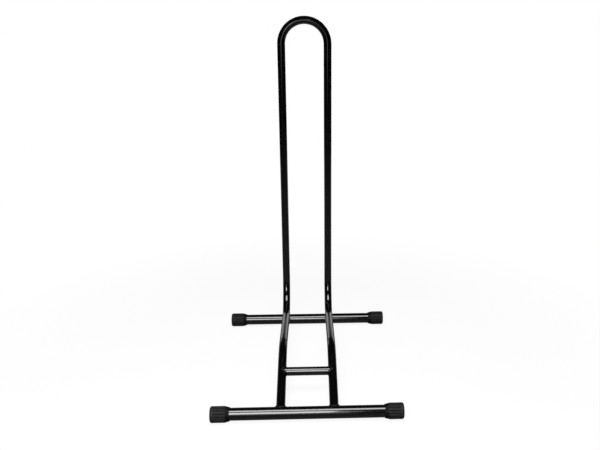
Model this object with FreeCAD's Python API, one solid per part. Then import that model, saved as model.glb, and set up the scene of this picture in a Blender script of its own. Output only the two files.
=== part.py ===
import FreeCAD, Part
import math
import os

# Floor bike rack. One bent tube makes the tall wheel hoop and both legs. The legs rise
# from the front base tube to a soft knee, run down to the rear base tube and turn up
# into the hoop at the heel bend. A short crossbar ties the legs, and every joint of the
# frame is welded. Four ribbed rubber caps close the base tubes and stand on the floor.
# X runs across the rack, Y from the front base tube to the hoop, Z up from the floor,
# and the origin is the middle of the footprint.

Vector = FreeCAD.Vector

# Driving dimensions, in millimetres and degrees
base_width = 338.0          # over the end caps
base_spacing = 379.0        # front base tube to rear base tube, axis to axis
rack_height = 668.0
leg_spacing = 94.0          # between the centrelines of the legs

hoop_radius = 8.0           # outside radius of the hoop tube and the crossbar
crossbar_wall = 1.2
base_radius = 11.0          # outside radius of the base tubes
base_wall = 1.5

foot_rise = 15.7            # slope of a leg from the front base tube up to the knee
run_drop = 7.9              # slope from the knee down to the heel
hoop_lean = 2.5             # the hoop leans forward from upright
knee_radius = 180.0
heel_radius = 65.0
heel_setback = 18.0         # rear base tube behind the centre of the heel bend
crossbar_setback = 96.5     # crossbar behind the front base tube

cap_radius = 14.3           # from the axis to the flat top of a rib
cap_length = 33.5
cap_end_wall = 5.5
cap_lip_wall = 1.4          # thickness at the thin edge that grips the tube
cap_neck_length = 9.6       # the ribs flare out from the lip over this length
cap_rim_chamfer = 2.0
rib_count = 16
rib_height = 0.9
rib_crest_width = 2.6
rib_root_width = 3.8

weld_rise = 2.0             # how far a weld stands out round the tube that ends
foot_weld_reach = 2.8       # and how far it spreads along it from the other tube
bar_weld_reach = 3.2
bar_weld_start = 3.0        # from the leg's centreline, so that the leg's top stays clear
crossing_bead_radius = 2.6  # beads down both sides of a leg where it lies on the rear base tube
crossing_bead_offset = 5.2
crossing_bead_length = 12.0

# Derived places
leg_x = leg_spacing / 2
axis_height = cap_radius
heel_reach = base_spacing - heel_setback + heel_radius + hoop_radius
front_y = (cap_radius - heel_reach) / 2
rear_y = front_y + base_spacing
base_tube_half = base_width / 2 - cap_end_wall


def tan(angle):
    return math.tan(math.radians(angle))


def side_direction(angle):
    """Unit vector in the side view, at an angle above +Y."""
    turn = math.radians(angle)
    return Vector(0, math.cos(turn), math.sin(turn))


def leg_corners():
    """Corners of one leg's centreline in the side view: foot, knee, heel and crown."""
    foot = Vector(0, front_y, axis_height)
    # The heel bend lies on the rear base tube: the tubes touch, skin to skin.
    stack = heel_radius + hoop_radius + base_radius
    heel_centre = Vector(0, rear_y - heel_setback, axis_height + math.sqrt(stack**2 - heel_setback**2))
    heel_turn = 90 + hoop_lean + run_drop
    heel_reach_out = heel_radius / math.cos(math.radians(heel_turn / 2))
    heel = heel_centre + side_direction((hoop_lean - run_drop - 90) / 2) * heel_reach_out
    knee_y = (heel.z - foot.z + (heel.y - foot.y) * tan(run_drop)) / (tan(foot_rise) + tan(run_drop))
    knee = foot + Vector(0, knee_y, knee_y * tan(foot_rise))
    crown_z = rack_height - hoop_radius
    crown = Vector(0, heel.y - (crown_z - heel.z) * tan(hoop_lean), crown_z)
    return [foot, knee, heel, crown], heel_centre


def bent_path(corners, bend_radii):
    """Centreline of a bent tube: straight runs joined by tangent arcs, one at each inner corner."""
    edges = []
    run_start = corners[0]
    for before, corner, after, radius in zip(corners, corners[1:], corners[2:], bend_radii):
        back = (before - corner).normalize()
        ahead = (after - corner).normalize()
        half_angle = back.getAngle(ahead) / 2
        inward = (back + ahead).normalize()
        setback = radius / math.tan(half_angle)
        arc_start = corner + back * setback
        arc_middle = corner + inward * (radius / math.sin(half_angle) - radius)
        arc_end = corner + ahead * setback
        if (arc_start - run_start).Length > 0.01:
            edges.append(Part.LineSegment(run_start, arc_start).toShape())
        edges.append(Part.Arc(arc_start, arc_middle, arc_end).toShape())
        run_start = arc_end
    edges.append(Part.LineSegment(run_start, corners[-1]).toShape())
    return Part.Wire(edges)


def hoop_path():
    """Centreline of the whole hoop tube, from the right foot over the crown to the left foot."""
    corners, _ = leg_corners()
    right = [corner + Vector(leg_x, 0, 0) for corner in corners]
    left = [corner - Vector(leg_x, 0, 0) for corner in reversed(corners)]
    crown_radius = leg_x
    leg_bends = [knee_radius, heel_radius, crown_radius]
    return bent_path(right + left, leg_bends + leg_bends[::-1])


def swept_rod(path, radius):
    """Round rod along an edge or a wire."""
    first = path.Edges[0]
    start = first.FirstParameter
    section = Part.Wire(Part.makeCircle(radius, first.valueAt(start), first.tangentAt(start)))
    return Part.Wire(path.Edges).makePipeShell([section], True, True)


def cross_rod(radius, half_length, y, z):
    """Solid round bar along X, centred on the rack's middle plane."""
    return Part.makeCylinder(radius, 2 * half_length, Vector(-half_length, y, z), Vector(1, 0, 0))


def base_rod(y):
    return cross_rod(base_radius, base_tube_half, y, axis_height)


def base_tube(y):
    bore = cross_rod(base_radius - base_wall, base_tube_half, y, axis_height)
    return base_rod(y).cut(bore)


def crossbar_place():
    return front_y + crossbar_setback, axis_height + crossbar_setback * tan(foot_rise)


def crossbar(hoop_rod):
    """Short tube between the legs, coped to them at both ends."""
    y, z = crossbar_place()
    rod = cross_rod(hoop_radius, leg_x, y, z)
    bore = cross_rod(hoop_radius - crossbar_wall, leg_x, y, z)
    return rod.cut(bore).cut(hoop_rod)


def tee_weld(start, direction, grown_main, joined_rods):
    """Weld round a tube that ends on the side of another one.

    The ending tube, grown by the weld's rise, is kept where it lies near the other tube,
    and both tubes are taken out of it.
    """
    branch = Part.makeCylinder(hoop_radius + weld_rise, leg_spacing / 2, start, direction)
    return branch.common(grown_main).cut(joined_rods)


def foot_weld(side, hoop_rod, front_rod):
    """Weld where a leg saddles on the front base tube."""
    foot = Vector(side * leg_x, front_y, axis_height)
    grown_base = cross_rod(base_radius + foot_weld_reach, base_tube_half, front_y, axis_height)
    return tee_weld(foot, side_direction(foot_rise), grown_base, [hoop_rod, front_rod])


def crossbar_weld(side, hoop_rod, bar_rod):
    """Weld where the crossbar saddles on a leg."""
    inward = Vector(-side, 0, 0)
    joint = Vector(side * leg_x, *crossbar_place())
    leg_way = side_direction(foot_rise)
    half_run = crossbar_setback / 3
    leg_start = joint - leg_way * half_run
    grown_leg = Part.makeCylinder(hoop_radius + bar_weld_reach, 2 * half_run, leg_start, leg_way)
    return tee_weld(joint + inward * bar_weld_start, inward, grown_leg, [hoop_rod, bar_rod])


def crossing_weld(side, hoop_rod, rear_rod):
    """Two beads, one down each side of a leg, in the gap over the rear base tube."""
    _, heel_centre = leg_corners()
    rear_axis = Vector(0, rear_y, axis_height)
    upward = (heel_centre - rear_axis).normalize()
    along = Vector(0, upward.z, -upward.y)
    touch = rear_axis + Vector(side * leg_x, 0, 0) + upward * base_radius
    beads = []
    for offset in (-crossing_bead_offset, crossing_bead_offset):
        start = touch + Vector(offset, 0, 0) - along * crossing_bead_length / 2
        bead = Part.makeCylinder(crossing_bead_radius, crossing_bead_length, start, along)
        beads.append(bead.cut([hoop_rod, rear_rod]))
    return Part.makeCompound(beads)


def ribbed_outline(x, size):
    """Outline of the cap at X, scaled by size: flat-topped ribs, one of them straight down."""
    rib = [
        (cap_radius - rib_height, -rib_root_width / 2),
        (cap_radius, -rib_crest_width / 2),
        (cap_radius, rib_crest_width / 2),
        (cap_radius - rib_height, rib_root_width / 2),
    ]
    points = []
    for index in range(rib_count):
        turn = 2 * math.pi * index / rib_count - math.pi / 2
        outward = Vector(0, math.cos(turn), math.sin(turn)) * size
        across = Vector(0, -math.sin(turn), math.cos(turn)) * size
        points += [Vector(x, 0, 0) + outward * radius + across * offset for radius, offset in rib]
    return points


def closed_face(points):
    return Part.Face(Part.makePolygon([*points, points[0]]))


def ribbed_length(start, end):
    """Flat-sided solid between two outlines of the cap."""
    count = len(start)
    sides = []
    for index in range(count):
        following = (index + 1) % count
        sides.append(closed_face([start[index], start[following], end[following], end[index]]))
    return Part.Solid(Part.Shell([closed_face(start), closed_face(end), *sides]))


def end_cap():
    """Ribbed rubber cap with its mouth at X = 0: flared neck, straight barrel and chamfered rim."""
    lip_size = (base_radius + cap_lip_wall) / cap_radius
    end_size = 1 - cap_rim_chamfer / cap_radius
    outlines = [
        ribbed_outline(0, lip_size),
        ribbed_outline(cap_neck_length, 1),
        ribbed_outline(cap_length - cap_rim_chamfer, 1),
        ribbed_outline(cap_length, end_size),
    ]
    neck, barrel, rim = [ribbed_length(start, end) for start, end in zip(outlines, outlines[1:])]
    socket = Part.makeCylinder(base_radius, cap_length - cap_end_wall, Vector(0, 0, 0), Vector(1, 0, 0))
    return neck.fuse([barrel, rim]).cut(socket)


def placed_cap(cap, side, y):
    """The cap pushed on the right end of a base tube, or mirrored on to the left end."""
    placed = cap.copy() if side > 0 else cap.mirror(Vector(0, 0, 0), Vector(1, 0, 0))
    placed.translate(Vector(side * (base_width / 2 - cap_length), y, axis_height))
    return placed


def build_rack():
    # The hoop's bore is sealed by its welds and is left solid; its feet are coped to
    # saddle on the front base tube.
    hoop_rod = swept_rod(hoop_path(), hoop_radius)
    front_rod = base_rod(front_y)
    rear_rod = base_rod(rear_y)
    bar_rod = cross_rod(hoop_radius, leg_x, *crossbar_place())
    pieces = {
        "hoop_tube": hoop_rod.cut(front_rod),
        "front_base_tube": base_tube(front_y),
        "rear_base_tube": base_tube(rear_y),
        "crossbar": crossbar(hoop_rod),
    }
    cap = end_cap()
    welds = []
    for side_name, side in (("left", -1), ("right", 1)):
        pieces[f"front_{side_name}_cap"] = placed_cap(cap, side, front_y)
        pieces[f"rear_{side_name}_cap"] = placed_cap(cap, side, rear_y)
        welds.append(foot_weld(side, hoop_rod, front_rod))
        welds.append(crossing_weld(side, hoop_rod, rear_rod))
        welds.append(crossbar_weld(side, hoop_rod, bar_rod))
    pieces["frame_welds"] = Part.makeCompound([solid for bead in welds for solid in bead.Solids])
    return pieces


os.makedirs("parts", exist_ok=True)
for name, shape in build_rack().items():
    shape.exportStep(f"parts/{name}.step")
    print(name, "volume", round(shape.Volume, 1), "solids", len(shape.Solids), "valid", shape.isValid())
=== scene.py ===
import math
import bpy
from mathutils import Matrix, Vector


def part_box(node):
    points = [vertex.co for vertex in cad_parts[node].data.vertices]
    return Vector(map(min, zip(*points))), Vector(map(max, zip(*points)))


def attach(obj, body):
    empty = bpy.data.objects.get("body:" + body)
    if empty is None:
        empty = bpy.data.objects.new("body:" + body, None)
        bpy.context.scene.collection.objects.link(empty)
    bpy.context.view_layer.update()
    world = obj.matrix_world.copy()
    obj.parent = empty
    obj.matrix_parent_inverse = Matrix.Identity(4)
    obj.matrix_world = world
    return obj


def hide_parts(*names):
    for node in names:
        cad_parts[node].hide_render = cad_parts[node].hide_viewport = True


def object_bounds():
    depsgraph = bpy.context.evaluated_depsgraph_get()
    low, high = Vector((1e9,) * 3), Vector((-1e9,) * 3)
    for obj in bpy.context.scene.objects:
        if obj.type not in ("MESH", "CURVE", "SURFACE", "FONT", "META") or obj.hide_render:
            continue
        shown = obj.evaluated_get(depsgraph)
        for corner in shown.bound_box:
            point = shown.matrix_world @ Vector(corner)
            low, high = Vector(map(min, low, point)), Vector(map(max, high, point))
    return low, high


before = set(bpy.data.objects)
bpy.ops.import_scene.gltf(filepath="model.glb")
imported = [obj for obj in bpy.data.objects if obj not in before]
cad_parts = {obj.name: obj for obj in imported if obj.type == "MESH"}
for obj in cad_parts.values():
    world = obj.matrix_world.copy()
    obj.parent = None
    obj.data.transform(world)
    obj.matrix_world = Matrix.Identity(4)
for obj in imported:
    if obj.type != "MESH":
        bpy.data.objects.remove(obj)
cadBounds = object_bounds()

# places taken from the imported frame: each base tube's axis and radius, and the rack's height
frontLow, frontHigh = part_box("front_base_tube")
rearLow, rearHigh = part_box("rear_base_tube")
frontAxis = Vector((0, (frontLow.y + frontHigh.y) / 2, (frontLow.z + frontHigh.z) / 2))
rearAxis = Vector((0, (rearLow.y + rearHigh.y) / 2, (rearLow.z + rearHigh.z) / 2))
baseRadius = (frontHigh.z - frontLow.z) / 2
rackTop = cadBounds[1].z
acrossRack = Vector((1, 0, 0))
print("frame loaded")


# small helpers

tolerance = {
    "samePoint": 1e-6,          # metres within which two points are one
    "sameRing": 1e-5,           # metres within which a point belongs to a ring
}


def deselectAll():
    if bpy.context.mode != "OBJECT":
        bpy.ops.object.mode_set(mode="OBJECT")
    bpy.ops.object.select_all(action="DESELECT")


def pickPiece(piece):
    # object mode, with this piece alone selected and active
    deselectAll()
    piece.select_set(True)
    bpy.context.view_layer.objects.active = piece


def startEdit(piece, mode="VERT"):
    # edit mode on one piece, with nothing selected in it
    pickPiece(piece)
    bpy.ops.object.mode_set(mode="EDIT")
    bpy.ops.mesh.select_mode(type=mode)
    bpy.ops.mesh.select_all(action="DESELECT")


def clearPicks(piece):
    # object mode, with no vertex, edge or face of the piece selected
    bpy.ops.object.mode_set(mode="OBJECT")
    for elements in (piece.data.vertices, piece.data.edges, piece.data.polygons):
        for element in elements:
            element.select = False


def pickFaces(piece, wanted):
    # selects the faces for which wanted(face) is true, and stays in edit mode
    clearPicks(piece)
    for face in piece.data.polygons:
        face.select = wanted(face)
    bpy.ops.object.mode_set(mode="EDIT")


def pickEdges(piece, wanted):
    # the same for edges, where wanted is given an edge's two ends
    clearPicks(piece)
    points = piece.data.vertices
    for edge in piece.data.edges:
        first, second = [points[index].co for index in edge.vertices]
        edge.select = wanted(first, second)
    bpy.ops.object.mode_set(mode="EDIT")


def settle(piece, name):
    # puts the place into the mesh, so that the object sits at the origin unturned
    pickPiece(piece)
    bpy.ops.object.transform_apply(location=True, rotation=True, scale=True)
    piece.name = name
    piece.data.name = name
    return piece


def cleanMesh(piece, smoothAngle):
    # doubles merged, faces outwards, and smooth up to an angle in degrees
    startEdit(piece)
    bpy.ops.mesh.select_all(action="SELECT")
    bpy.ops.mesh.remove_doubles(threshold=tolerance["samePoint"])
    bpy.ops.mesh.normals_make_consistent(inside=False)
    pickPiece(piece)
    bpy.ops.object.shade_smooth_by_angle(angle=math.radians(smoothAngle))


def ridePiece(piece, slotName, material, *nodes):
    # the finished piece stands for its CAD nodes and moves with the rack
    piece.data.materials.clear()
    piece.data.materials.append(material)
    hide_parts(*nodes)
    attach(piece, "root")


def sideWay(degrees):
    # unit vector in the side view, at an angle above +Y
    turn = math.radians(degrees)
    return Vector((0, math.cos(turn), math.sin(turn)))


def slope(degrees):
    # rise over run at an angle
    return math.tan(math.radians(degrees))


# nodes of materials

def addNode(tree, kind, place, **values):
    node = tree.nodes.new(kind)
    node.location = place
    for name, value in values.items():
        setattr(node, name, value)
    return node


def fill(tree, node, values):
    # values by the name or number of an input: a socket is linked, and anything else is set
    for label, value in values.items():
        if isinstance(value, bpy.types.NodeSocket):
            tree.links.new(value, node.inputs[label])
        else:
            node.inputs[label].default_value = value


def mathOf(tree, place, operation, *values, clamp=False):
    node = addNode(tree, "ShaderNodeMath", place, operation=operation, use_clamp=clamp)
    fill(tree, node, dict(enumerate(values)))
    return node.outputs[0]


def mixValue(tree, place, low, high, factor):
    # low where the factor is 0, high where it is 1
    node = addNode(tree, "ShaderNodeMapRange", place)
    fill(tree, node, {"Value": factor, "To Min": low, "To Max": high})
    return node.outputs["Result"]


def rangeOf(tree, place, value, start, end):
    # 0 up to start and 1 from end on
    node = addNode(tree, "ShaderNodeMapRange", place)
    fill(tree, node, {"Value": value, "From Min": start, "From Max": end})
    return node.outputs["Result"]


def blendOf(tree, place, low, high, factor, kind="RGBA"):
    # between two colours, or between two numbers where kind is FLOAT
    node = addNode(tree, "ShaderNodeMix", place, data_type=kind)
    fill(tree, node, {"A": low, "B": high, "Factor": factor})
    return node.outputs["Result"]


def noiseOf(tree, place, vector, scale, detail, roughness=0.5):
    node = addNode(tree, "ShaderNodeTexNoise", place)
    fill(tree, node, {"Vector": vector, "Scale": scale, "Detail": detail, "Roughness": roughness})
    return node.outputs["Fac"]


def objectPlace(tree, place):
    return addNode(tree, "ShaderNodeTexCoord", place).outputs["Object"]


def sidesOf(tree, place, vector):
    # the three coordinates apart
    node = addNode(tree, "ShaderNodeSeparateXYZ", place)
    fill(tree, node, {"Vector": vector})
    return node.outputs


def lengthOf(tree, place, vector):
    node = addNode(tree, "ShaderNodeVectorMath", place, operation="LENGTH")
    fill(tree, node, {0: vector})
    return node.outputs["Value"]


def mixShaders(tree, place, share, first, second):
    # the first shader where the share is 0, the second where it is 1
    node = addNode(tree, "ShaderNodeMixShader", place)
    fill(tree, node, {0: share, 1: first, 2: second})
    return node.outputs[0]


def newMaterial(name):
    material = bpy.data.materials.new(name)
    material.use_nodes = True
    tree = material.node_tree
    return material, tree, tree.nodes["Principled BSDF"]


# shared surface effects

effects = {
    "patchDetail": 4.0,
    "patchRoughness": 0.55,
    "cloudScale": 45.0,         # the clouds in which dust gathers
    "cloudDetail": 3.0,
    "fineDetail": 2.0,
    "coarseDetail": 1.0,
    "coarseScale": 0.22,        # of the fine bumps' scale
}


def newGroup(name, inputs, output, kind="NodeSocketFloat"):
    # a node group with a place, some numbers (name: default) and one output
    group = bpy.data.node_groups.new(name, "ShaderNodeTree")
    group.interface.new_socket(name="Place", in_out="INPUT", socket_type="NodeSocketVector")
    for label, default in inputs.items():
        socket = group.interface.new_socket(name=label, in_out="INPUT", socket_type="NodeSocketFloat")
        socket.default_value = default
    group.interface.new_socket(name=output, in_out="OUTPUT", socket_type=kind)
    start = addNode(group, "NodeGroupInput", (-900, 0))
    end = addNode(group, "NodeGroupOutput", (700, 0))
    return group, start.outputs, end


def makeBlotchGroup():
    # slow uneven patches, as of a coat that dried thicker in places: Mask from 0 to 1
    group, given, end = newGroup("unevenPatches", {"Scale": 60.0, "Contrast": 1.0}, "Mask")
    noise = noiseOf(
        group, (-600, 0), given["Place"], given["Scale"], effects["patchDetail"], effects["patchRoughness"]
    )
    centred = mathOf(group, (-350, 0), "SUBTRACT", noise, 0.5)
    spread = mathOf(group, (-150, 0), "MULTIPLY", centred, given["Contrast"])
    lifted = mathOf(group, (50, 0), "ADD", spread, 0.5, clamp=True)
    fill(group, end, {"Mask": lifted})
    return group


def makeSpeckGroup():
    # fine dust specks: Mask is 1 on a speck
    group, given, end = newGroup("dustSpecks", {"Scale": 900.0, "Amount": 0.2}, "Mask")
    cells = addNode(group, "ShaderNodeTexVoronoi", (-600, 100))
    fill(group, cells, {"Vector": given["Place"], "Scale": given["Scale"]})
    clouds = noiseOf(group, (-600, -200), given["Place"], effects["cloudScale"], effects["cloudDetail"])
    reach = mathOf(group, (-350, -200), "MULTIPLY", clouds, given["Amount"])
    speck = mathOf(group, (-100, 0), "LESS_THAN", cells.outputs["Distance"], reach)
    fill(group, end, {"Mask": speck})
    return group


def makeGrainGroup():
    # two sizes of bumps on a surface, put out as a normal
    inputs = {"Scale": 700.0, "Coarse Share": 0.4, "Depth": 0.0001}
    group, given, end = newGroup("fineGrain", inputs, "Normal", "NodeSocketVector")
    fine = noiseOf(group, (-600, 150), given["Place"], given["Scale"], effects["fineDetail"])
    coarseScale = mathOf(group, (-800, -200), "MULTIPLY", given["Scale"], effects["coarseScale"])
    coarse = noiseOf(group, (-600, -200), given["Place"], coarseScale, effects["coarseDetail"])
    blend = blendOf(group, (-250, 0), fine, coarse, given["Coarse Share"], "FLOAT")
    bump = addNode(group, "ShaderNodeBump", (200, 0))
    fill(group, bump, {"Height": blend, "Distance": given["Depth"]})
    fill(group, end, {"Normal": bump.outputs["Normal"]})
    return group


blotchGroup = makeBlotchGroup()
speckGroup = makeSpeckGroup()
grainGroup = makeGrainGroup()


def placeGroup(tree, group, place, vector, values):
    # a shared effect with this material's own values
    node = addNode(tree, "ShaderNodeGroup", place, node_tree=group)
    fill(tree, node, {"Place": vector, **values})
    return node.outputs[0]


# materials

glossPaint = {
    "darkColour": (0.0008, 0.0008, 0.0009, 1),
    "paleColour": (0.0022, 0.0022, 0.0024, 1),
    "dustColour": (0.018, 0.0175, 0.0165, 1),
    "smoothRoughness": 0.10,
    "dullRoughness": 0.18,
    "patches": {"Scale": 38.0, "Contrast": 1.6},            # where the coat is thinner and paler
    "wipes": {"Scale": 140.0, "Contrast": 1.4},             # where it is duller
    "specks": {"Scale": 1400.0, "Amount": 0.11},
    # the orange peel, finer where its scale is higher
    "peel": {"Scale": 220.0, "Coarse Share": 0.35, "Depth": 0.000010},
    "specular": 0.5,
    "coat": 0.6,
    "coatRoughness": 0.05,
}
# the same coat lies duller over the scaly weld metal
weldPaint = {
    **glossPaint,
    "smoothRoughness": 0.34,
    "dullRoughness": 0.48,
    "peel": {"Scale": 1500.0, "Coarse Share": 0.35, "Depth": 0.00004},
    "specular": 0.22,
    "coat": 0.05,
    "coatRoughness": 0.25,
}


def makePaint(name, values):
    material, tree, shader = newMaterial(name)
    place = objectPlace(tree, (-1200, 0))
    patches = placeGroup(tree, blotchGroup, (-900, 200), place, values["patches"])
    wipes = placeGroup(tree, blotchGroup, (-900, 0), place, values["wipes"])
    specks = placeGroup(tree, speckGroup, (-900, -200), place, values["specks"])
    peel = placeGroup(tree, grainGroup, (-900, -400), place, values["peel"])
    black = blendOf(tree, (-500, 250), values["darkColour"], values["paleColour"], patches)
    fill(tree, shader, {
        "Base Color": blendOf(tree, (-250, 250), black, values["dustColour"], specks),
        "Roughness": mixValue(tree, (-500, 0), values["smoothRoughness"], values["dullRoughness"], wipes),
        "Normal": peel,
        "Specular IOR Level": values["specular"],
        "Coat Weight": values["coat"],
        "Coat Roughness": values["coatRoughness"],
    })
    return material


capRubber = {
    # the grooves' darker colour is painted shade; the crests are paler where rubbed
    "grooveColour": (0.0025, 0.0025, 0.0026, 1),
    "crestColour": (0.020, 0.020, 0.0205, 1),
    "dustColour": (0.045, 0.044, 0.042, 1),
    "grooveRoughness": 0.52,
    "crestRoughness": 0.40,
    "wear": {"Scale": 220.0, "Contrast": 2.2},
    "leastWear": 0.55,          # on a crest, where 1 is fully worn
    "specks": {"Scale": 1900.0, "Amount": 0.3},
    "grain": {"Scale": 1100.0, "Coarse Share": 0.5, "Depth": 0.00006},
    "specular": 0.08,
    "paintedShadeHeights": (0.004, 0.017),     # painted shade under the cap is darkest up to the first height and gone from the second
    # the share of the colour left at the very bottom by the painted shade
    "paintedShadeLevel": 0.3,
}


def makeCapRubber(name, axis, grooveRadius, crestRadius):
    # paler where hands and floors rub the ribs, which is wear, and darker down in the grooves, which is
    # painted shade
    values = capRubber
    material, tree, shader = newMaterial(name)
    place = objectPlace(tree, (-1500, 0))
    centred = addNode(tree, "ShaderNodeMapping", (-1300, 300))
    fill(tree, centred, {"Vector": place, "Location": -axis})
    flat = addNode(tree, "ShaderNodeVectorMath", (-1100, 300), operation="MULTIPLY")
    fill(tree, flat, {0: centred.outputs["Vector"], 1: (0, 1, 1)})
    radius = lengthOf(tree, (-900, 300), flat.outputs["Vector"])
    crest = rangeOf(tree, (-700, 300), radius, grooveRadius, crestRadius)
    wear = placeGroup(tree, blotchGroup, (-900, 0), place, values["wear"])
    wear = mixValue(tree, (-700, 0), values["leastWear"], 1.0, wear)
    # 1 on rubbed crests and 0 down in the grooves, whose darker colour is painted shade
    rubbedCrestsShadedGrooves = mathOf(tree, (-500, 200), "MULTIPLY", crest, wear)
    specks = placeGroup(tree, speckGroup, (-900, -200), place, values["specks"])
    grain = placeGroup(tree, grainGroup, (-900, -400), place, values["grain"])
    colour = blendOf(tree, (-300, 250), values["grooveColour"], values["crestColour"], rubbedCrestsShadedGrooves)
    dusted = blendOf(tree, (-120, 250), colour, values["dustColour"], specks)
    # painted shade: the colour darkens towards the bottom of the cap, where it sits near the floor
    height = sidesOf(tree, (-1300, 600), place)["Z"]
    unshadedShare = rangeOf(tree, (-700, 600), height, *values["paintedShadeHeights"])
    bottomShaded = addNode(tree, "ShaderNodeVectorMath", (60, 400), operation="SCALE")
    fill(tree, bottomShaded, {0: dusted, "Scale": mixValue(tree, (-500, 600), values["paintedShadeLevel"], 1.0, unshadedShare)})
    fill(tree, shader, {
        "Base Color": bottomShaded.outputs["Vector"],
        "Roughness": mixValue(tree, (-300, 0), values["grooveRoughness"], values["crestRoughness"], rubbedCrestsShadedGrooves),
        "Normal": grain,
        "Specular IOR Level": values["specular"],
    })
    return material


paint = makePaint("glossBlackPaint", glossPaint)
dullPaint = makePaint("weldBlackPaint", weldPaint)
print("materials made")


# hoop tube

hoop = {
    "radius": 0.008,
    "legSpacing": 0.094,
    "footRise": 15.7,           # degrees, front foot up to the knee
    "runDrop": 7.9,             # degrees, knee down to the heel
    "lean": 2.5,                # degrees forward of upright
    "kneeRadius": 0.18,
    "heelRadius": 0.065,
    "heelSetback": 0.018,       # how far the middle of the heel bend lies before the rear tube
    "sides": 64,
    "degreesPerStep": 3.0,
    "fewestSteps": 4,           # in a bend
    "runStep": 0.03,
    "smoothAngle": 40,
}
legX = hoop["legSpacing"] / 2


def legCorners():
    # side view: foot, knee, heel and crown of a leg's centreline, and the middle of the heel bend
    stack = hoop["heelRadius"] + hoop["radius"] + baseRadius
    setback = hoop["heelSetback"]
    heelCentre = rearAxis + Vector((0, -setback, math.sqrt(stack**2 - setback**2)))
    heelTurn = 90 + hoop["lean"] + hoop["runDrop"]
    reach = hoop["heelRadius"] / math.cos(math.radians(heelTurn / 2))
    heel = heelCentre + sideWay((hoop["lean"] - hoop["runDrop"] - 90) / 2) * reach
    fall = slope(hoop["runDrop"])
    rise = slope(hoop["footRise"])
    kneeY = (heel.z - frontAxis.z + (heel.y - frontAxis.y) * fall) / (rise + fall)
    knee = frontAxis + Vector((0, kneeY, kneeY * rise))
    crownZ = rackTop - hoop["radius"]
    crown = Vector((0, heel.y - (crownZ - heel.z) * slope(hoop["lean"]), crownZ))
    return [frontAxis.copy(), knee, heel, crown], heelCentre


def extrudeRun(run):
    # pushes the selected ring along a straight run in even steps
    steps = max(1, round(run.length / hoop["runStep"]))
    for _ in range(steps):
        bpy.ops.mesh.extrude_region_move(TRANSFORM_OT_translate={"value": run / steps})


def copeRing(piece, centre, way, tubeAxis, tubeRadius):
    # moves the end ring along the tube until it lies on the tube that it meets
    across = tubeAxis.cross(way).normalized()
    for vertex in piece.data.vertices:
        offset = vertex.co - centre
        if abs(offset.dot(way)) < tolerance["sameRing"]:
            sideStep = offset.dot(across)
            vertex.co += way * math.sqrt(max(tubeRadius**2 - sideStep**2, 0))


def buildHoop():
    corners, _ = legCorners()
    right = [corner + Vector((legX, 0, 0)) for corner in corners]
    left = [corner - Vector((legX, 0, 0)) for corner in reversed(corners)]
    corners = right + left
    bends = [hoop["kneeRadius"], hoop["heelRadius"], legX]
    bends += reversed(bends)
    firstWay = (corners[1] - corners[0]).normalized()
    deselectAll()
    bpy.ops.mesh.primitive_circle_add(
        vertices=hoop["sides"], radius=hoop["radius"], location=corners[0],
        rotation=firstWay.to_track_quat("Z", "Y").to_euler(),
    )
    tube = settle(bpy.context.object, "hoop_tube_finish")
    startEdit(tube)
    bpy.ops.mesh.select_all(action="SELECT")
    here = corners[0]
    for before, corner, after, radius in zip(corners, corners[1:], corners[2:], bends):
        back = (before - corner).normalized()
        ahead = (after - corner).normalized()
        halfAngle = back.angle(ahead) / 2
        inward = (back + ahead).normalized()
        bendStart = corner + back * radius / math.tan(halfAngle)
        centre = corner + inward * radius / math.sin(halfAngle)
        turn = math.pi - 2 * halfAngle
        run = bendStart - here
        if run.length > tolerance["sameRing"]:
            extrudeRun(run)
        steps = max(hoop["fewestSteps"], round(math.degrees(turn) / hoop["degreesPerStep"]))
        axis = back.cross(ahead).normalized()       # spin turns against the right-hand rule
        bpy.ops.mesh.spin(steps=steps, angle=turn, center=centre, axis=axis)
        here = corner + ahead * radius / math.tan(halfAngle)
    extrudeRun(corners[-1] - here)
    deselectAll()
    footWay = sideWay(hoop["footRise"])
    for foot in (corners[0], corners[-1]):
        copeRing(tube, foot, footWay, acrossRack, baseRadius)
    startEdit(tube)
    bpy.ops.mesh.select_non_manifold()
    bpy.ops.mesh.edge_face_add()
    cleanMesh(tube, hoop["smoothAngle"])
    return tube


hoopTube = buildHoop()
ridePiece(hoopTube, "black_paint", paint, "hoop_tube")
print("hoop tube bent")


# base tubes and crossbar

baseTube = {"wall": 0.0015, "sides": 80, "cuts": 40, "endBevel": 0.0003, "smoothAngle": 40}
crossbar = {"wall": 0.0012, "sides": 64, "cuts": 16, "setback": 0.0965, "smoothAngle": 40}


def buildPipe(name, centre, length, radius, values):
    # a pipe across the rack, open at both ends
    deselectAll()
    bpy.ops.mesh.primitive_cylinder_add(
        vertices=values["sides"], radius=radius, depth=length,
        location=centre, rotation=(0, math.pi / 2, 0), end_fill_type="NGON",
    )
    pipe = settle(bpy.context.object, name)
    startEdit(pipe, "FACE")
    pickFaces(pipe, lambda face: len(face.vertices) > 4)
    bpy.ops.mesh.inset(thickness=values["wall"])
    bpy.ops.mesh.bridge_edge_loops()
    # the long edges are cut short, so that the shaped ends don't tint the shading
    pickEdges(pipe, lambda first, second: abs(first.x - second.x) > length / 2)
    bpy.ops.mesh.subdivide(number_cuts=values["cuts"])
    return pipe


def pickRims(tube, endX, centre):
    # the round edges at both ends, outside and in the bore
    def wanted(first, second):
        if min(abs(first.x), abs(second.x)) < endX - tolerance["samePoint"]:
            return False
        firstRadius = (first - centre).yz.length
        secondRadius = (second - centre).yz.length
        return abs(firstRadius - secondRadius) < tolerance["samePoint"]
    pickEdges(tube, wanted)


def buildBaseTube(name, low, high):
    centre = (low + high) / 2
    tube = buildPipe(name, centre, high.x - low.x, baseRadius, baseTube)
    pickRims(tube, high.x, centre)
    bpy.ops.mesh.bevel(offset=baseTube["endBevel"], segments=2, affect="EDGES")
    cleanMesh(tube, baseTube["smoothAngle"])
    return tube


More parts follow.
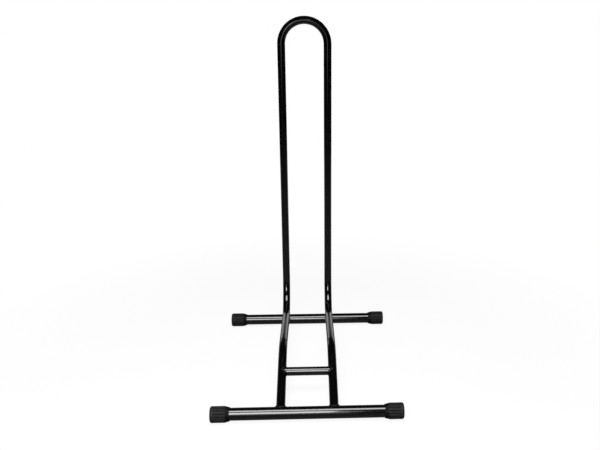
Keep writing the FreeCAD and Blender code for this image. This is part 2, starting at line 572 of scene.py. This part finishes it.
def buildCrossbar():
    setback = crossbar["setback"]
    middle = frontAxis + Vector((0, setback, setback * slope(hoop["footRise"])))
    bar = buildPipe("crossbar_finish", middle, 2 * legX, hoop["radius"], crossbar)
    deselectAll()
    # both ends are fish-mouthed on to the legs, and the rings between follow them
    across = sideWay(hoop["footRise"]).cross(acrossRack)
    for vertex in bar.data.vertices:
        height = (vertex.co - middle).dot(across)
        end = legX - math.sqrt(max(hoop["radius"]**2 - height**2, 0))
        vertex.co.x *= end / legX
    cleanMesh(bar, crossbar["smoothAngle"])
    return bar, middle


for endName, low, high in (("front", frontLow, frontHigh), ("rear", rearLow, rearHigh)):
    tube = buildBaseTube(endName + "_base_tube_finish", low, high)
    ridePiece(tube, "black_paint", paint, endName + "_base_tube")
crossbarPiece, crossbarMiddle = buildCrossbar()
ridePiece(crossbarPiece, "black_paint", paint, "crossbar")
print("base tubes and crossbar made")


# weld beads

weld = {
    "footRadius": 0.0030,       # half thickness of the bead
    "barRadius": 0.0019,
    "crossingRadius": 0.0026,
    "ripplePitch": 0.0017,
    "rippleDepth": 0.10,
    "rippleMiddle": 0.6,        # the height on a drop at which the bead has its plain thickness
    "swell": 0.05,              # slow changes of thickness along a bead
    "swellRates": (0.83, 0.31),
    "collarSteps": 180,         # round a collar, and round its section
    "collarSides": 14,
    "collarLift": 0.15,         # out of the corner, in half thicknesses
    "collarDepth": 0.75,
    "collarWidth": 1.15,
    "collarClosing": 0.75,      # how far it closes where the skins meet flush
    "crossingSteps": 64,
    "crossingSides": 28,
    "crossingLength": 0.0150,
    "crossingOffset": 0.0052,
    "crossingFullness": 1.25,
    "crossingBlunt": 0.6,       # less is blunter at the ends
    "crossingSag": 0.35,        # how far it follows the curve of the gap
    "footSeed": 1.3,            # these keep the beads from rippling alike
    "barSeed": 2.1,
    "edgeSeed": 3.0,
    "smoothAngle": 60,
}


def ripple(distance, seed):
    # one stacked drop after another, none quite like the last
    phase = distance / weld["ripplePitch"]
    drop = phase % 1.0
    quick, slow = weld["swellRates"]
    swell = weld["swell"]
    uneven = math.sin(phase * quick + seed) * swell + math.sin(phase * slow + 2 * seed) * swell
    return 1 + weld["rippleDepth"] * (math.sin(math.pi * drop) - weld["rippleMiddle"]) + uneven


def buildCollar(name, origin, branchWay, mainWay, branchRadius, mainRadius, beadRadius, seed):
    # a ring primitive laid along the line where one tube ends on the side of another
    deselectAll()
    bpy.ops.mesh.primitive_torus_add(
        major_segments=weld["collarSteps"], minor_segments=weld["collarSides"],
        major_radius=branchRadius, minor_radius=beadRadius, location=(0, 0, 0),
    )
    bead = settle(bpy.context.object, name)
    sideAxis = branchWay.cross(mainWay)
    for vertex in bead.data.vertices:
        around = math.atan2(vertex.co.y, vertex.co.x)
        out = vertex.co.xy.length - branchRadius
        section = math.atan2(vertex.co.z, out)
        outward = mainWay * math.cos(around) + sideAxis * math.sin(around)
        depth = branchRadius * math.sin(around)
        height = math.sqrt(max(mainRadius**2 - depth**2, 0))
        saddle = origin + outward * branchRadius + branchWay * height
        upward = (sideAxis * depth + branchWay * height) / mainRadius
        corner = (outward + upward).normalized()
        along = outward - upward
        along = along.normalized() if along.length > tolerance["samePoint"] else branchWay
        size = beadRadius * ripple(around * branchRadius, seed)
        flush = max(0.0, outward.dot(upward)) ** 3
        openness = 1 - weld["collarClosing"] * flush
        vertex.co = (
            saddle
            + corner * size * openness * (weld["collarLift"] + weld["collarDepth"] * math.cos(section))
            + along * size * weld["collarWidth"] * math.sin(section)
        )
    cleanMesh(bead, weld["smoothAngle"])
    return bead


def buildCrossingBead(name, touch, upward, way, offset, seed):
    # a short bead in the gap between a leg and the rear tube, with rounded ends
    length = weld["crossingLength"]
    deselectAll()
    bpy.ops.mesh.primitive_uv_sphere_add(
        segments=weld["crossingSides"], ring_count=weld["crossingSteps"], radius=1.0, location=(0, 0, 0)
    )
    bead = settle(bpy.context.object, name)
    across = way.cross(upward)
    for vertex in bead.data.vertices:
        ring = vertex.co.xy.length
        section = math.atan2(vertex.co.y, vertex.co.x)
        latitude = math.asin(max(-1.0, min(1.0, vertex.co.z)))
        distance = latitude / (math.pi / 2) * length / 2
        fullness = 0.0
        if ring > tolerance["samePoint"]:
            fullness = min(1.0, weld["crossingFullness"] * ring) ** weld["crossingBlunt"]
        size = weld["crossingRadius"] * fullness * ripple(distance + length, seed)
        sag = distance**2 / (2 * (baseRadius + hoop["radius"]))
        vertex.co = (
            touch + across * (offset + size * math.cos(section)) + way * distance
            + upward * (size * math.sin(section) - weld["crossingSag"] * sag)
        )
    cleanMesh(bead, weld["smoothAngle"])
    return bead


def buildWelds():
    footWay = sideWay(hoop["footRise"])
    _, heelCentre = legCorners()
    upward = (heelCentre - rearAxis).normalized()
    alongLeg = Vector((0, upward.z, -upward.y))
    for sideName, side in (("left", -1), ("right", 1)):
        legPlace = Vector((side * legX, 0, 0))
        beads = [
            buildCollar(
                "foot_weld_" + sideName, frontAxis + legPlace, footWay, acrossRack,
                hoop["radius"], baseRadius, weld["footRadius"], weld["footSeed"] * side,
            ),
            buildCollar(
                "crossbar_weld_" + sideName, crossbarMiddle + legPlace, acrossRack * -side, footWay,
                hoop["radius"], hoop["radius"], weld["barRadius"], weld["barSeed"] * side,
            ),
        ]
        touch = rearAxis + legPlace + upward * baseRadius
        for edgeName, edge in (("outer", side), ("inner", -side)):
            beads.append(buildCrossingBead(
                "crossing_weld_" + sideName + "_" + edgeName, touch, upward, alongLeg,
                edge * weld["crossingOffset"], side + weld["edgeSeed"] * edge,
            ))
        for bead in beads:
            ridePiece(bead, "black_paint", dullPaint, "frame_welds")


buildWelds()
print("weld beads laid")


# rubber caps

cap = {
    "length": 0.0335,
    "endWall": 0.0055,
    "lipRadius": 0.0124,
    "grooveRadius": 0.01335,
    "crestRadius": 0.0143,
    "socketGap": 0.0001,        # between the socket and the tube
    "neckLength": 0.0096,
    "plainNeck": 0.25,          # the share of the neck before the grooves start
    "bandLength": 0.0058,       # the plain band at the closed end
    "bandStep": 0.0005,         # the length over which a groove runs out at it
    "rimRadius": 0.0034,
    "rings": 66,
    "rimRings": 9,
    "ribs": 16,
    "facesPerRib": 8,
    "grooveShare": 0.36,        # of a rib's pitch
    "flankShare": 0.07,         # of a rib's pitch, for the slope at each side of a groove
    "smoothAngle": 35,
}


def smoothStep(value):
    value = max(0.0, min(1.0, value))
    return value * value * (3 - 2 * value)


def capRadiusAt(x, ribPhase):
    # outside radius of the cap at a distance from its mouth; ribPhase is 0 on a crest, 0.5 mid-groove
    neck = smoothStep(x / cap["neckLength"])
    skin = cap["lipRadius"] + (cap["crestRadius"] - cap["lipRadius"]) * neck
    groove = smoothStep((ribPhase - (0.5 - cap["grooveShare"] / 2)) / cap["flankShare"])
    plain = cap["plainNeck"]
    fadeIn = smoothStep((x - plain * cap["neckLength"]) / ((1 - plain) * cap["neckLength"]))
    bandStart = cap["length"] - cap["bandLength"]
    fadeOut = smoothStep((bandStart - x) / cap["bandStep"] + 0.5)
    depth = cap["crestRadius"] - cap["grooveRadius"]
    return skin - depth * groove * fadeIn * fadeOut


def buildCap():
    # mouth at the origin, end face at x = length; made once and copied for each corner
    length = cap["length"]
    deselectAll()
    bpy.ops.mesh.primitive_cylinder_add(
        vertices=cap["ribs"] * cap["facesPerRib"], radius=cap["lipRadius"], depth=length,
        location=(length / 2, 0, 0), rotation=(0, math.pi / 2, 0), end_fill_type="NGON",
    )
    piece = settle(bpy.context.object, "capPattern")
    startEdit(piece, "EDGE")
    pickEdges(piece, lambda first, second: abs(first.x - second.x) > length / 2)
    bpy.ops.mesh.subdivide(number_cuts=cap["rings"] - 1)
    deselectAll()
    straightRings = cap["rings"] - cap["rimRings"]
    for vertex in piece.data.vertices:
        ring = round(vertex.co.x / length * cap["rings"])
        bend = max(0, ring - straightRings) / cap["rimRings"] * math.pi / 2
        x = min(ring, straightRings) / straightRings * (length - cap["rimRadius"])
        around = math.atan2(vertex.co.z, vertex.co.y)
        turn = (around + math.pi / 2) / (2 * math.pi) * cap["ribs"]
        ribPhase = abs(turn - round(turn))
        radius = capRadiusAt(x, ribPhase) - cap["rimRadius"] * (1 - math.cos(bend))
        x += cap["rimRadius"] * math.sin(bend)
        vertex.co = (x, radius * math.cos(around), radius * math.sin(around))
    # the socket that the tube fills, from the mouth inward
    startEdit(piece, "FACE")
    pickFaces(piece, lambda face: face.normal.x < 0 and len(face.vertices) > 4)
    bpy.ops.mesh.inset(thickness=cap["lipRadius"] - baseRadius - cap["socketGap"])
    inward = (length - cap["endWall"], 0, 0)
    bpy.ops.mesh.extrude_region_move(TRANSFORM_OT_translate={"value": inward})
    cleanMesh(piece, cap["smoothAngle"])
    return piece


capPattern = buildCap()
for endName, axis in (("front", frontAxis), ("rear", rearAxis)):
    rubber = makeCapRubber(endName + "CapRubber", axis, cap["grooveRadius"], cap["crestRadius"])
    for sideName, side in (("left", -1), ("right", 1)):
        nodeName = endName + "_" + sideName + "_cap"
        low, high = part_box(nodeName)
        mouth = Vector((high.x if side < 0 else low.x, axis.y, axis.z))
        piece = capPattern.copy()
        piece.data = capPattern.data.copy()
        bpy.context.scene.collection.objects.link(piece)
        turn = Matrix.Rotation(math.pi if side < 0 else 0, 4, "Z")
        piece.data.transform(Matrix.Translation(mouth) @ turn)
        piece.name = nodeName + "_finish"
        piece.data.name = piece.name
        ridePiece(piece, "cap_rubber", rubber, nodeName)
bpy.data.objects.remove(capPattern)
print("caps made")


# floor, surroundings and lamps

stage = {
    "floorRadius": 60.0,
    "floorColour": (0.86, 0.86, 0.86, 1),
    "floorRoughness": 0.9,
    "floorSpecular": 0.1,
    "nearWhite": 0.9,           # how far the floor beside the rack is background and not lit floor
    "whiteReach": (0.42, 0.8),  # the distances between which it turns to background alone
    "tentRadius": 5.0,
    "clothColour": (0.02, 0.02, 0.02, 1),
    "ambient": 0.2,
}


def whiteForBackground(tree, place):
    # 1 for camera, glossy and transmission rays
    path = addNode(tree, "ShaderNodeLightPath", place).outputs
    seen = mathOf(tree, (place[0] + 200, place[1]), "MAXIMUM", path["Is Camera Ray"], path["Is Glossy Ray"])
    return mathOf(tree, (place[0] + 400, place[1]), "MAXIMUM", seen, path["Is Transmission Ray"])


def distanceFromRack(tree, place):
    return lengthOf(tree, (place[0] + 200, place[1]), objectPlace(tree, place))


def buildFloor():
    deselectAll()
    bpy.ops.mesh.primitive_circle_add(vertices=128, radius=stage["floorRadius"], fill_type="NGON")
    floor = bpy.context.object
    floor.name = "floor"
    material, tree, shader = newMaterial("paleFloor")
    fill(tree, shader, {
        "Base Color": stage["floorColour"],
        "Roughness": stage["floorRoughness"],
        "Specular IOR Level": stage["floorSpecular"],
    })
    glow = addNode(tree, "ShaderNodeEmission", (0, -300))
    glow.inputs["Strength"].default_value = 1.0
    far = rangeOf(tree, (-500, 0), distanceFromRack(tree, (-900, 0)), *stage["whiteReach"])
    white = mixValue(tree, (-300, 0), stage["nearWhite"], 1.0, far)
    share = mathOf(tree, (0, 300), "MULTIPLY", whiteForBackground(tree, (-700, 300)), white)
    mix = mixShaders(tree, (300, 0), share, shader.outputs[0], glow.outputs[0])
    fill(tree, tree.nodes["Material Output"], {"Surface": mix})
    floor.data.materials.append(material)
    floor.visible_glossy = False


def onlyReflected(piece):
    piece.visible_camera = False
    piece.visible_diffuse = False
    piece.visible_transmission = False
    piece.visible_shadow = False
    piece.visible_volume_scatter = False


def makeFlagCloth():
    material, tree, shader = newMaterial("flagCloth")
    fill(tree, shader, {"Base Color": stage["clothColour"], "Roughness": 1.0})
    return material


def buildTent(cloth):
    # black flags all round, seen only in reflections, keep the gloss paint dark
    deselectAll()
    bpy.ops.mesh.primitive_uv_sphere_add(segments=48, ring_count=24, radius=stage["tentRadius"])
    tent = bpy.context.object
    tent.name = "blackFlags"
    tent.data.materials.append(cloth)
    onlyReflected(tent)


def glowMaterial(name):
    # an emission material whose strength the caller links
    material, tree, shader = newMaterial(name)
    tree.nodes.remove(shader)
    glow = addNode(tree, "ShaderNodeEmission", (0, 0))
    fill(tree, tree.nodes["Material Output"], {"Surface": glow.outputs[0]})
    return material, tree, glow


pool = {
    "radius": 1.6,
    "depth": 0.001,             # under the floor
    "glow": 0.15,               # the lit floor, as the gloss paint shows it
    "fade": 0.65,               # the distance at which it has halved
    "behindGlow": 0.4,          # painted reflection, added further back where a floor would run up to a pale backdrop
    "behindReach": (0.35, 0.55),
}


def buildLightPool():
    # a glowing disc under the floor, seen only in reflections: a painted reflection of the pool of light
    # round the rack, weaker with distance
    deselectAll()
    bpy.ops.mesh.primitive_circle_add(
        vertices=96, radius=pool["radius"], fill_type="NGON", location=(0, 0, -pool["depth"])
    )
    piece = bpy.context.object
    piece.name = "lightPool"
    material, tree, glow = glowMaterial("poolGlow")
    scaled = mathOf(tree, (-900, 0), "DIVIDE", distanceFromRack(tree, (-1300, 0)), pool["fade"])
    squared = mathOf(tree, (-700, 0), "MULTIPLY_ADD", scaled, scaled, 1.0)
    faded = mathOf(tree, (-500, 0), "DIVIDE", pool["glow"], squared)
    depth = sidesOf(tree, (-900, -300), objectPlace(tree, (-1100, -300)))["Y"]
    behind = rangeOf(tree, (-700, -300), depth, *pool["behindReach"])
    total = mathOf(tree, (-300, 0), "MULTIPLY_ADD", behind, pool["behindGlow"], faded)
    fill(tree, glow, {"Strength": total})
    piece.data.materials.append(material)
    onlyReflected(piece)


def addSheet(name, centre, size, tilt=0.0):
    # a flat sheet with its place in its mesh, tilted up from lying
    deselectAll()
    bpy.ops.mesh.primitive_plane_add(size=1.0, location=centre, rotation=(tilt, 0, 0))
    sheet = bpy.context.object
    sheet.scale = (*size, 1)
    return settle(sheet, name)


cards = {
    # a glowing card far behind the camera, seen only in reflections as a painted reflection, brighter
    # towards its top
    "farCard": {
        "centre": (-0.2, -2.0, 0.55),
        "size": (0.75, 1.15),
        "heights": (0.08, 0.38),        # the glow changes from the first height to the second
        "glow": (0.1, 1.1),
    },
    # a glowing card seen only in reflections: a painted reflection of the foot of a pale backdrop, which
    # the legs show at a shallow angle
    "backCard": {
        "centre": (0.0, 0.9, 0.17),
        "size": (1.0, 0.40),
        "heights": (0.02, 0.27),
        "glow": (0.8, 0.0),
    },
}


def buildCard(name, values):
    # a glowing sheet seen only in reflections, which paints a reflection on the gloss paint
    card = addSheet(name, values["centre"], values["size"], math.pi / 2)
    material, tree, glow = glowMaterial(name + "Glow")
    height = sidesOf(tree, (-900, 0), objectPlace(tree, (-1100, 0)))["Z"]
    rise = rangeOf(tree, (-700, 0), height, *values["heights"])
    fill(tree, glow, {"Strength": mixValue(tree, (-400, 0), *values["glow"], rise)})
    card.data.materials.append(material)
    onlyReflected(card)


crownFlag = {
    "place": (0, 0.155),
    "lift": 0.032,              # above the crown of the hoop
    "size": (0.24, 0.11),
}


def buildCrownFlag(cloth):
    # a small black flag that keeps the overhead lamp off the crown of the hoop
    centre = (*crownFlag["place"], rackTop + crownFlag["lift"])
    flag = addSheet("crownFlag", centre, crownFlag["size"])
    flag.data.materials.append(cloth)
    onlyReflected(flag)
    flag.visible_shadow = True


def buildWorld():
    # white as a background, and a dim even light for all else
    world = bpy.data.worlds.new("studio")
    bpy.context.scene.world = world
    world.use_nodes = True
    tree = world.node_tree
    tree.nodes.clear()
    dim = addNode(tree, "ShaderNodeBackground", (0, 100))
    fill(tree, dim, {"Color": (1, 1, 1, 1), "Strength": stage["ambient"]})
    white = addNode(tree, "ShaderNodeBackground", (0, -100))
    fill(tree, white, {"Color": (1, 1, 1, 1)})
    share = whiteForBackground(tree, (-700, 0))
    mix = mixShaders(tree, (300, 0), share, dim.outputs[0], white.outputs[0])
    fill(tree, addNode(tree, "ShaderNodeOutputWorld", (600, 0)), {"Surface": mix})


# each lamp's centre, its width and height in metres, its radiance, and the point it faces
lamps = {
    "overhead": {
        "centre": (0.0, -0.55, 1.75),
        "size": (1.30, 0.80),
        "radiance": 8.0,
        "aim": (0.0, -0.55, 0.0),
    },
    "front": {
        "centre": (-0.17, -1.15, 0.66),
        "size": (0.50, 0.90),
        "radiance": 10.0,
        "aim": (-0.17, -1.15, 0.0),
    },
    "upperLeft": {
        "centre": (-0.50, -2.0, 0.98),
        "size": (0.50, 0.35),
        "radiance": 4.0,
        "aim": (-0.1, 0.2, 0.66),
    },
    "upperRight": {
        "centre": (0.19, -2.0, 1.36),
        "size": (0.12, 0.34),
        "radiance": 2.5,
        "aim": (0.0, 0.2, 0.66),
    },
}


def buildLamp(name, values):
    data = bpy.data.lights.new(name, "AREA")
    data.shape = "RECTANGLE"
    data.size, data.size_y = values["size"]
    data.energy = values["radiance"] * math.pi * data.size * data.size_y
    lamp = bpy.data.objects.new(name, data)
    bpy.context.scene.collection.objects.link(lamp)
    lamp.location = values["centre"]
    way = Vector(values["aim"]) - Vector(values["centre"])
    lamp.rotation_mode = "QUATERNION"
    lamp.rotation_quaternion = way.to_track_quat("-Z", "Y")
    lamp.visible_camera = False


buildFloor()
flagCloth = makeFlagCloth()
buildTent(flagCloth)
buildLightPool()
for name, values in cards.items():
    buildCard(name, values)
buildCrownFlag(flagCloth)
buildWorld()
for name, values in lamps.items():
    buildLamp(name, values)
bpy.context.scene.view_settings.view_transform = "Standard"
print("stage set")


# camera

view = {
    "place": (0.00832, -1.2995, 0.71128),
    "yaw": 2.49,                # degrees to the right of +Y
    "pitch": 17.95,             # degrees down
    "roll": -0.18,
    "focalPixels": 716.05,
    "centrePixel": 339.93,      # the lens axis, across a frame 600 pixels wide
    "framePixels": 600,
    "sensorWidth": 36.0,
}


def buildCamera():
    yaw, pitch, roll = [math.radians(view[name]) for name in ("yaw", "pitch", "roll")]
    ahead = Vector((math.sin(yaw) * math.cos(pitch), math.cos(yaw) * math.cos(pitch), -math.sin(pitch)))
    right = Vector((math.cos(yaw), -math.sin(yaw), 0))
    down = ahead.cross(right)
    turnedRight = right * math.cos(roll) + down * math.sin(roll)
    turnedDown = down * math.cos(roll) - right * math.sin(roll)
    data = bpy.data.cameras.new("photoView")
    data.sensor_width = view["sensorWidth"]
    data.lens = view["focalPixels"] / view["framePixels"] * view["sensorWidth"]
    data.shift_x = 0.5 - view["centrePixel"] / view["framePixels"]
    camera = bpy.data.objects.new("photoView", data)
    bpy.context.scene.collection.objects.link(camera)
    axes = Matrix((turnedRight, -turnedDown, -ahead)).transposed()
    camera.rotation_mode = "QUATERNION"
    camera.rotation_quaternion = axes.to_quaternion()
    camera.location = view["place"]
    bpy.context.scene.camera = camera


buildCamera()
print("camera placed")
